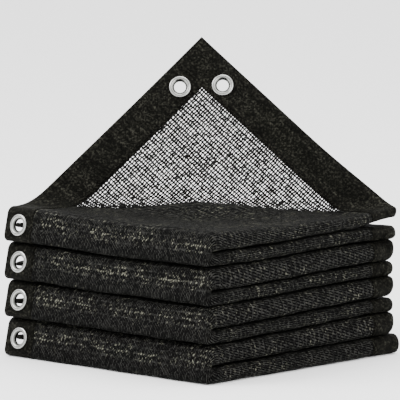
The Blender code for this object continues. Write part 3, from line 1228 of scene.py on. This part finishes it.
@dataclass
class OpenNet:
    """The net of the lifted corner as real yarns: chain-stitched wales with slanted yarns between them."""

    meshes: ClothMesh
    row_pitch: float = 0.0041
    yarn_pitch: float = 0.0030
    skew: float = 0.35
    yarn_widths: tuple[float, ...] = (0.00070, 0.00082, 0.00094, 0.00110)
    yarn_thickness: float = 0.0006
    rows_per_wale: int = 2
    wale_width: float = 0.0021
    wale_depth: float = 0.0010
    wale_step: float = 0.0009
    under_tape: float = 0.0020
    below_bend: float = 0.003
    wander: float = 0.00042
    wale_wander: float = 2.6
    wander_scale: float = 160
    drift_span: float = 40
    loop_swell: float = 0.38
    loop_steps: float = 3.2
    loop_unevenness: float = 0.08
    fewest_places: int = 4
    side_reach: float = 0.001
    yarn_seed: int = 7
    wale_seed: int = 11
    finish: StrandFinish = StrandFinish()

    def build(self) -> list[bpy.types.Object]:
        """Build the yarns.

        Returns:
            The pieces made.
        """
        material = self.finish.material("open_yarn")
        made = [self._cross_yarns(material), self._wales(material)]
        for piece in made:
            dress(piece, "net_width_1")
        return made

    def _inside(self, u: float, v: float) -> bool:
        """Whether a flat place is on the standing part."""
        cloth = self.meshes.cloth
        return cloth.beyond_bend(u, cloth.side - v) > -self.below_bend

    def _cross_yarns(self, material: bpy.types.Material) -> bpy.types.Object:
        """The yarns between the wales, as what is left of a skewed grid once its holes are cut.

        Args:
            material: The yarns' finish.

        Returns:
            The piece.
        """
        cloth = self.meshes.cloth
        first = cloth.tape - self.under_tape
        reach = cloth.side - cloth.tape
        spare = round(self.skew * reach / self.row_pitch) + 2
        columns, rows = round(reach / self.yarn_pitch) + 2 * spare, round(reach / self.row_pitch)
        net = bmesh.new()
        bmesh.ops.create_grid(net, x_segments=columns, y_segments=rows, size=0.5)
        chance = random.Random(self.yarn_seed)
        for vert in net.verts:
            column = round((vert.co.x + 0.5) * columns) - spare
            row = round((vert.co.y + 0.5) * rows)
            u = first + (column - (row % 2) * self.skew) * self.yarn_pitch
            u += chance.uniform(-1, 1) * self.wander
            v = first + row * self.row_pitch + chance.uniform(-1, 1) * self.wander
            vert.co = (u, v, 0)
        gone = [
            face
            for face in net.faces
            if not self._inside(*face.calc_center_median().xy) or face.calc_center_median().x < first
        ]
        bmesh.ops.delete(net, geom=gone, context="FACES")
        groups: list[list[bmesh.types.BMFace]] = [[] for _ in self.yarn_widths]
        for face in net.faces:
            groups[chance.randrange(len(groups))].append(face)
        for faces, width in zip(groups, self.yarn_widths):
            bmesh.ops.inset_individual(net, faces=faces, thickness=width, use_even_offset=True)
        bmesh.ops.delete(net, geom=[face for faces in groups for face in faces], context="FACES")
        for vert in net.verts:
            vert.co = cloth.folded(max(vert.co.x, first), vert.co.y)
        made = new_object("open_net_yarns", net, material)
        thicken(made, self.yarn_thickness)
        return made

    def _wales(self, material: bpy.types.Material) -> bpy.types.Object:
        """The chain-stitched lines, each a flat strip that swells at every loop.

        Args:
            material: The wales' finish.

        Returns:
            The piece.
        """
        cloth = self.meshes.cloth
        first = cloth.tape - self.under_tape
        pitch = self.row_pitch * self.rows_per_wale
        rows = round((cloth.side - cloth.tape) / pitch)
        chance = random.Random(self.wale_seed)
        chains = bmesh.new()
        for row in range(rows + 1):
            v = first + row * pitch
            places = []
            u = first
            while self._inside(u, v) and u < cloth.fold_start:
                places.append(u)
                u += self.wale_step
            if len(places) < self.fewest_places:
                continue
            drift = chance.uniform(0, self.drift_span)
            self._chain(chains, places, v, drift, chance)
        bmesh.ops.recalc_face_normals(chains, faces=chains.faces)
        made = new_object("open_net_wales", chains, material)
        made.data.shade_smooth()
        return made

    def _chain(
        self, chains: bmesh.types.BMesh, places: list[float], v: float, drift: float, chance: random.Random
    ) -> None:
        """Add one wale along its places: a strip extruded along the cloth.

        Args:
            chains: The mesh that holds the wales.
            places: Every u along the wale.
            v: Its place along the cloth.
            drift: Where it starts in the noise that makes it wander.
            chance: Source of small differences between loops.
        """
        cloth = self.meshes.cloth
        section: list[bmesh.types.BMVert] = []
        for index, u in enumerate(places):
            wander = noise.noise(Vector((u * self.wander_scale, drift, 0))) * self.wander * self.wale_wander
            loop = abs(math.sin(math.pi * index / self.loop_steps + drift))
            swell = 1 - self.loop_swell + self.loop_swell * loop
            swell += chance.uniform(-self.loop_unevenness, self.loop_unevenness)
            centre = cloth.folded(u, v + wander)
            out = cloth.out_of(u, v) * self.wale_depth * 0.5
            reach = self.wale_width * 0.5 * swell
            side = (cloth.folded(u, v + self.side_reach) - centre).normalized() * reach
            corners = [centre + side, centre + out, centre - side, centre - out]
            if not section:
                section = [chains.verts.new(corner) for corner in corners]
                chains.faces.new(section)
                continue
            ring = [chains.edges.get(pair) for pair in zip(section, section[1:] + section[:1])]
            grown = bmesh.ops.extrude_edge_only(chains, edges=ring)["geom"]
            fresh = [item for item in grown if isinstance(item, bmesh.types.BMVert)]
            pairs = {}
            for vert in fresh:
                for edge in vert.link_edges:
                    other = edge.other_vert(vert)
                    if other in section:
                        pairs[other] = vert
            section = [pairs[vert] for vert in section]
            for vert, corner in zip(section, corners):
                vert.co = corner
        chains.faces.new(section)


@dataclass
class EdgeTapes:
    """The woven tapes of the edges and seams, with the holes for their eyelets."""

    meshes: ClothMesh
    finish: TapeFinish = TapeFinish()
    thickness: float = 0.0016
    hole: float = 0.0069
    hole_steps: int = 48
    drill_depth: float = 0.016

    def build(self, eyelets: dict[str, list[Matrix]]) -> None:
        """Build the seven tapes.

        Args:
            eyelets: For each tape with eyelets, where they sit.
        """
        cloth = self.meshes.cloth
        inner = (cloth.tape, cloth.flat_width - cloth.tape)
        end_line = cloth.side - cloth.tape
        first, last = side = (cloth.v_at(0, end_line), cloth.v_at(cloth.panels - 1, end_line))
        whole = (0.0, cloth.flat_width)
        tapes = {
            "side_tape_a": ((0.0, cloth.tape), side),
            "side_tape_b": ((cloth.flat_width - cloth.tape, cloth.flat_width), side),
            "end_tape_top": (whole, (0.0, first)),
            "end_tape_bottom": (whole, (last, cloth.flat_length)),
        }
        for number in range(1, cloth.panels // 2):
            seam = (cloth.v_at(2 * number - 1, end_line), cloth.v_at(2 * number, end_line))
            tapes[f"seam_tape_{number}"] = (inner, seam)
        for name, (u_range, v_range) in tapes.items():
            self._tape(name, u_range, v_range, eyelets.get(name, []))

    def _tape(self, node: str, u_range: Range, v_range: Range, holes: list[Matrix]) -> None:
        """Build one tape and tie it to the frame.

        Args:
            node: The frame's node that it stands for.
            u_range: First and last u.
            v_range: First and last v.
            holes: Where eyelets pass through it.
        """
        name = node + "_cloth"
        sheet = self.meshes.cut(u_range, v_range)
        self.meshes.fold(sheet, puckered=not holes)
        made = self.meshes.piece(name, sheet, self.thickness, self.finish.material(name))
        for index, place in enumerate(holes):
            self._cut_hole(made, f"{name}_hole_{index + 1}", place)
        if holes:
            apply_modifiers(made)
        dress(made, node)
        flat = (u_range[1] - u_range[0], v_range[1] - v_range[0])
        LOG.info("%s: %.3f by %.3f m flat", name, *flat)

    def _cut_hole(self, tape: bpy.types.Object, name: str, place: Matrix) -> None:
        """Cut the hole of an eyelet with a round cutter.

        Args:
            tape: The tape.
            name: Name of the cutter.
            place: Where the eyelet sits.
        """
        drill = bmesh.new()
        bmesh.ops.create_cone(
            drill,
            cap_ends=True,
            segments=self.hole_steps,
            radius1=self.hole,
            radius2=self.hole,
            depth=self.drill_depth,
        )
        bmesh.ops.transform(drill, matrix=place, verts=drill.verts)
        cutter = new_object(name, drill, tape.data.materials[0])
        cutter.hide_render = True
        cutter.hide_viewport = True
        cut = tape.modifiers.new(name, "BOOLEAN")
        cut.operation = "DIFFERENCE"
        cut.solver = "EXACT"
        cut.object = cutter


def apply_modifiers(piece: bpy.types.Object) -> None:
    """Make a piece's modifiers part of its mesh, and remove the cutters that they used."""
    graph = bpy.context.evaluated_depsgraph_get()
    baked = bpy.data.meshes.new_from_object(piece.evaluated_get(graph))
    cutters = [modifier.object for modifier in piece.modifiers if modifier.type == "BOOLEAN"]
    piece.modifiers.clear()
    piece.data = baked
    for cutter in cutters:
        bpy.data.objects.remove(cutter)


@dataclass
class Stitches:
    """Rows of lockstitch along the tapes' inner edges, as short threads that lie on the cloth."""

    cloth: FoldedCloth
    length: float = 0.0030
    gap: float = 0.0014
    size: float = 0.00050
    inset: float = 0.0030
    lift: float = 0.0009
    from_hem: float = 0.002
    flatness: float = 0.8
    finish: ThreadFinish = ThreadFinish()

    def build(self) -> None:
        """Build one piece of thread for each row that shows."""
        cloth = self.cloth
        end_line = cloth.v_at(0, cloth.side - cloth.tape)
        turn_end = cloth.stretches[1].end
        u, v = cloth.tape - self.inset, end_line - self.inset
        rows: dict[str, list[tuple[Vector, Vector]]] = {
            "stitches_side": [(Vector((u, end_line + self.inset)), Vector((u, turn_end)))],
            "stitches_end": [(Vector((self.from_hem, v)), Vector((cloth.fold_start, v)))],
        }
        nodes = {"stitches_side": "side_tape_a", "stitches_end": "end_tape_top"}
        for number in range(1, cloth.panels // 2):
            turn = cloth.stretches[4 * number + 1]
            rows["stitches_side"].append((Vector((u, turn.start)), Vector((u, turn.end))))
        for name, lines in rows.items():
            threads = bmesh.new()
            for start, end in lines:
                self._row(threads, start, end)
            made = new_object(name, threads, self.finish.material(name))
            made.data.shade_smooth()
            dress(made, nodes[name])

    def _row(self, threads: bmesh.types.BMesh, start: Vector, end: Vector) -> None:
        """Add a row of stitches between two flat places.

        Args:
            threads: The mesh that holds the stitches.
            start: Where the row starts, as (u, v).
            end: Where it ends.
        """
        span = end - start
        count = int(span.length / (self.length + self.gap))
        for index in range(count):
            place = start + span * (index + 0.5) / count
            half = span.normalized() * self.length / 2
            ends = [self.cloth.folded(*(place + offset)) for offset in (-half, half)]
            out = self.cloth.out_of(*place)
            middle = self.cloth.folded(*place) + out * self.lift
            along = (ends[1] - ends[0]).normalized()
            turn = Matrix((along, out.cross(along), out)).transposed().to_4x4()
            shape = Matrix.Diagonal((self.length / 2, self.size, self.size * self.flatness, 1))
            bmesh.ops.create_icosphere(
                threads,
                subdivisions=1,
                radius=1.0,
                matrix=Matrix.Translation(middle) @ turn @ shape,
            )


@dataclass
class Eyelets:
    """The six pressed eyelets: a funnel into the barrel, a domed front flange and a rolled back one."""

    cloth: FoldedCloth
    hole: float = 0.0065
    front: float = 0.0120
    back: float = 0.0108
    clear: float = 0.0010
    fold_x: float = 0.0195
    apex_inset: float = 0.023
    apex_from_corner: float = 0.056
    lip_inset: float = 0.0010
    funnel_lip: float = 0.0022
    lip_width: float = 0.0012
    steps: int = 72
    finish: EyeletFinish = EyeletFinish()

    def places(self) -> dict[str, tuple[str, Matrix]]:
        """For each eyelet's node, its tape and where it sits."""
        cloth = self.cloth
        left = cloth.frame_on(self.apex_inset, cloth.v_at(0, cloth.side - self.apex_from_corner))
        right = cloth.frame_on(self.apex_from_corner, cloth.v_at(0, cloth.side - self.apex_inset))
        found = {"eyelet_apex_left": ("side_tape_a", left), "eyelet_apex_right": ("end_tape_top", right)}
        for number in range(cloth.panels // 2):
            place = cloth.frame_on(self.fold_x, cloth.face_middle(2 * number))
            found[f"eyelet_fold_{number + 1}"] = ("side_tape_a", place)
        return found

    def _outline(self) -> list[tuple[float, float]]:
        """Closed outline of the metal, as (radius, height): flange, funnel, barrel and back roll."""
        low, hole = self.clear, self.hole
        return [
            (hole + 0.0005, low),
            (self.front - 0.0005, low),
            (self.front - 0.0001, low + 0.0002),
            (self.front, low + 0.0006),
            (self.front - 0.0003, low + 0.0011),
            (self.front - 0.0010, low + 0.0015),
            (self.front - 0.0020, low + 0.0017),
            (self.front - 0.0030, low + 0.00165),
            (hole + 0.0022, low + 0.0013),
            (hole + 0.0011, low + 0.0005),
            (hole + 0.0004, low - 0.0004),
            (hole, low - 0.0012),
            (hole, -low - 0.0006),
            (hole + 0.0003, -low - 0.0011),
            (hole + 0.0010, -low - 0.0013),
            (self.back - 0.0006, -low - 0.0009),
            (self.back, -low - 0.0003),
            (self.back - 0.0003, -low),
            (hole + 0.0005, -low),
        ]

    def _shine(self, radius: float, height: float) -> float:
        """How bright the metal is painted at a place: 1 on the lips, a painted highlight; half on the
        flange; 0 in the barrel, painted shade.

        Args:
            radius: Distance from the eyelet's axis.
            height: Height along it.

        Returns:
            The brightness.
        """
        if height < self.clear:
            return 0.0
        outer = abs(radius - self.front + self.lip_inset)
        from_lips = min(outer, abs(radius - self.hole - self.funnel_lip))
        return 0.5 + 0.5 * max(0.0, 1 - from_lips / self.lip_width)

    def build(self) -> None:
        """Spin the eyelets and put them in their places."""
        for node, (_, place) in self.places().items():
            ring = bmesh.new()
            outline = [ring.verts.new((radius, 0, height)) for radius, height in self._outline()]
            edges = [ring.edges.new(pair) for pair in zip(outline, outline[1:] + outline[:1])]
            bmesh.ops.spin(
                ring,
                geom=outline + edges,
                cent=(0, 0, 0),
                axis=(0, 0, 1),
                angle=math.tau,
                steps=self.steps,
                use_merge=True,
            )
            bmesh.ops.remove_doubles(ring, verts=ring.verts, dist=MERGE_DISTANCE)
            bmesh.ops.recalc_face_normals(ring, faces=ring.faces)
            shine = ring.verts.layers.float.new(EyeletFinish.SHINE)
            for vert in ring.verts:
                vert[shine] = self._shine(vert.co.xy.length, vert.co.z)
            bmesh.ops.transform(ring, matrix=place, verts=ring.verts)
            made = new_object(node + "_metal", ring, self.finish.material(node + "_metal"))
            made.data.shade_smooth()
            dress(made, node)


@dataclass(frozen=True)
class Lamp:
    """A soft square light, with the side of its square and its power."""

    name: str
    place: tuple[float, float, float]
    size: float
    power: float


@dataclass
class Studio:
    """Plain pale floor, soft light and the camera at the photo's angle."""

    side: float = 0.305
    lamps: tuple[Lamp, ...] = (
        Lamp("key_light", (-1.1, -1.7, 1.9), 1.4, 60.0),
        Lamp("side_light", (2.0, -0.7, 1.2), 1.2, 26.0),
        Lamp("top_light", (0.1, 0.3, 2.4), 1.6, 40.0),
    )
    lit_height: float = 0.12
    surround_strength: float = 2.4
    floor_half: float = 6.0
    floor_drop: float = 0.0002
    floor_tone: float = 0.93
    sensor_width: float = 36.0
    azimuth: float = 43.0
    elevation: float = 8.0
    distance: float = 9.0
    frame_width: float = 0.4270
    front_corner_left: float = 0.0092
    front_corner_down: float = 0.1991

    def build(self) -> None:
        """Make the floor, the world, the lights and the camera."""
        self._floor()
        self._world()
        for lamp in self.lamps:
            self._light(lamp)
        self._camera()

    def _floor(self) -> None:
        """A wide pale floor under the cloth."""
        plane = bmesh.new()
        bmesh.ops.create_grid(plane, x_segments=1, y_segments=1, size=self.floor_half)
        tree = ShaderTree("pale_floor")
        tone = (self.floor_tone, self.floor_tone, self.floor_tone, 1.0)
        floor = new_object("floor", plane, tree.finish(Base_Color=tone, Roughness=0.9))
        floor.location.z = -self.floor_drop

    def _world(self) -> None:
        """An even white surrounding."""
        world = bpy.data.worlds.new("studio")
        world.use_nodes = True
        background = world.node_tree.nodes["Background"]
        background.inputs["Color"].default_value = (1.0, 1.0, 1.0, 1.0)
        background.inputs["Strength"].default_value = self.surround_strength
        bpy.context.scene.world = world

    def _light(self, lamp: Lamp) -> None:
        """Add a light that faces the cloth.

        Args:
            lamp: The light's values.
        """
        light = bpy.data.lights.new(lamp.name, "AREA")
        light.size = lamp.size
        light.energy = lamp.power
        made = bpy.data.objects.new(lamp.name, light)
        made.location = lamp.place
        aim = Vector((0, 0, self.lit_height)) - Vector(lamp.place)
        made.rotation_euler = aim.to_track_quat("-Z", "Y").to_euler()
        bpy.context.scene.collection.objects.link(made)

    def _camera(self) -> None:
        """The camera, placed from the front corner's place in the frame."""
        turn, rise = math.radians(self.azimuth), math.radians(self.elevation)
        back = Vector((math.sin(turn) * math.cos(rise), -math.cos(turn) * math.cos(rise), math.sin(rise)))
        right = Vector((math.cos(turn), math.sin(turn), 0))
        up = back.cross(right)
        corner = Vector((self.side / 2, -self.side / 2, 0))
        target = corner - right * self.front_corner_left + up * self.front_corner_down
        data = bpy.data.cameras.new("camera")
        data.sensor_width = self.sensor_width
        data.lens = data.sensor_width * self.distance / self.frame_width
        camera = bpy.data.objects.new("camera", data)
        camera.location = target + back * self.distance
        camera.rotation_euler = (-back).to_track_quat("-Z", "Y").to_euler()
        bpy.context.scene.collection.objects.link(camera)
        bpy.context.scene.camera = camera


def main() -> None:
    """Dress the frame and set the studio."""
    logging.basicConfig(level=logging.INFO, format="%(name)s: %(message)s")
    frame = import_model()
    LOG.info("frame: %d nodes", len(frame["nodes"]))
    cloth = FoldedCloth()
    meshes = ClothMesh(cloth)
    Studio(side=cloth.side).build()
    eyelets = Eyelets(cloth)
    holes: dict[str, list[Matrix]] = {}
    for tape, place in eyelets.places().values():
        holes.setdefault(tape, []).append(place)
    NetWidths(meshes).build(OpenNet(meshes).build())
    EdgeTapes(meshes).build(holes)
    Stitches(cloth).build()
    eyelets.build()


if __name__ == "__main__":
    main()
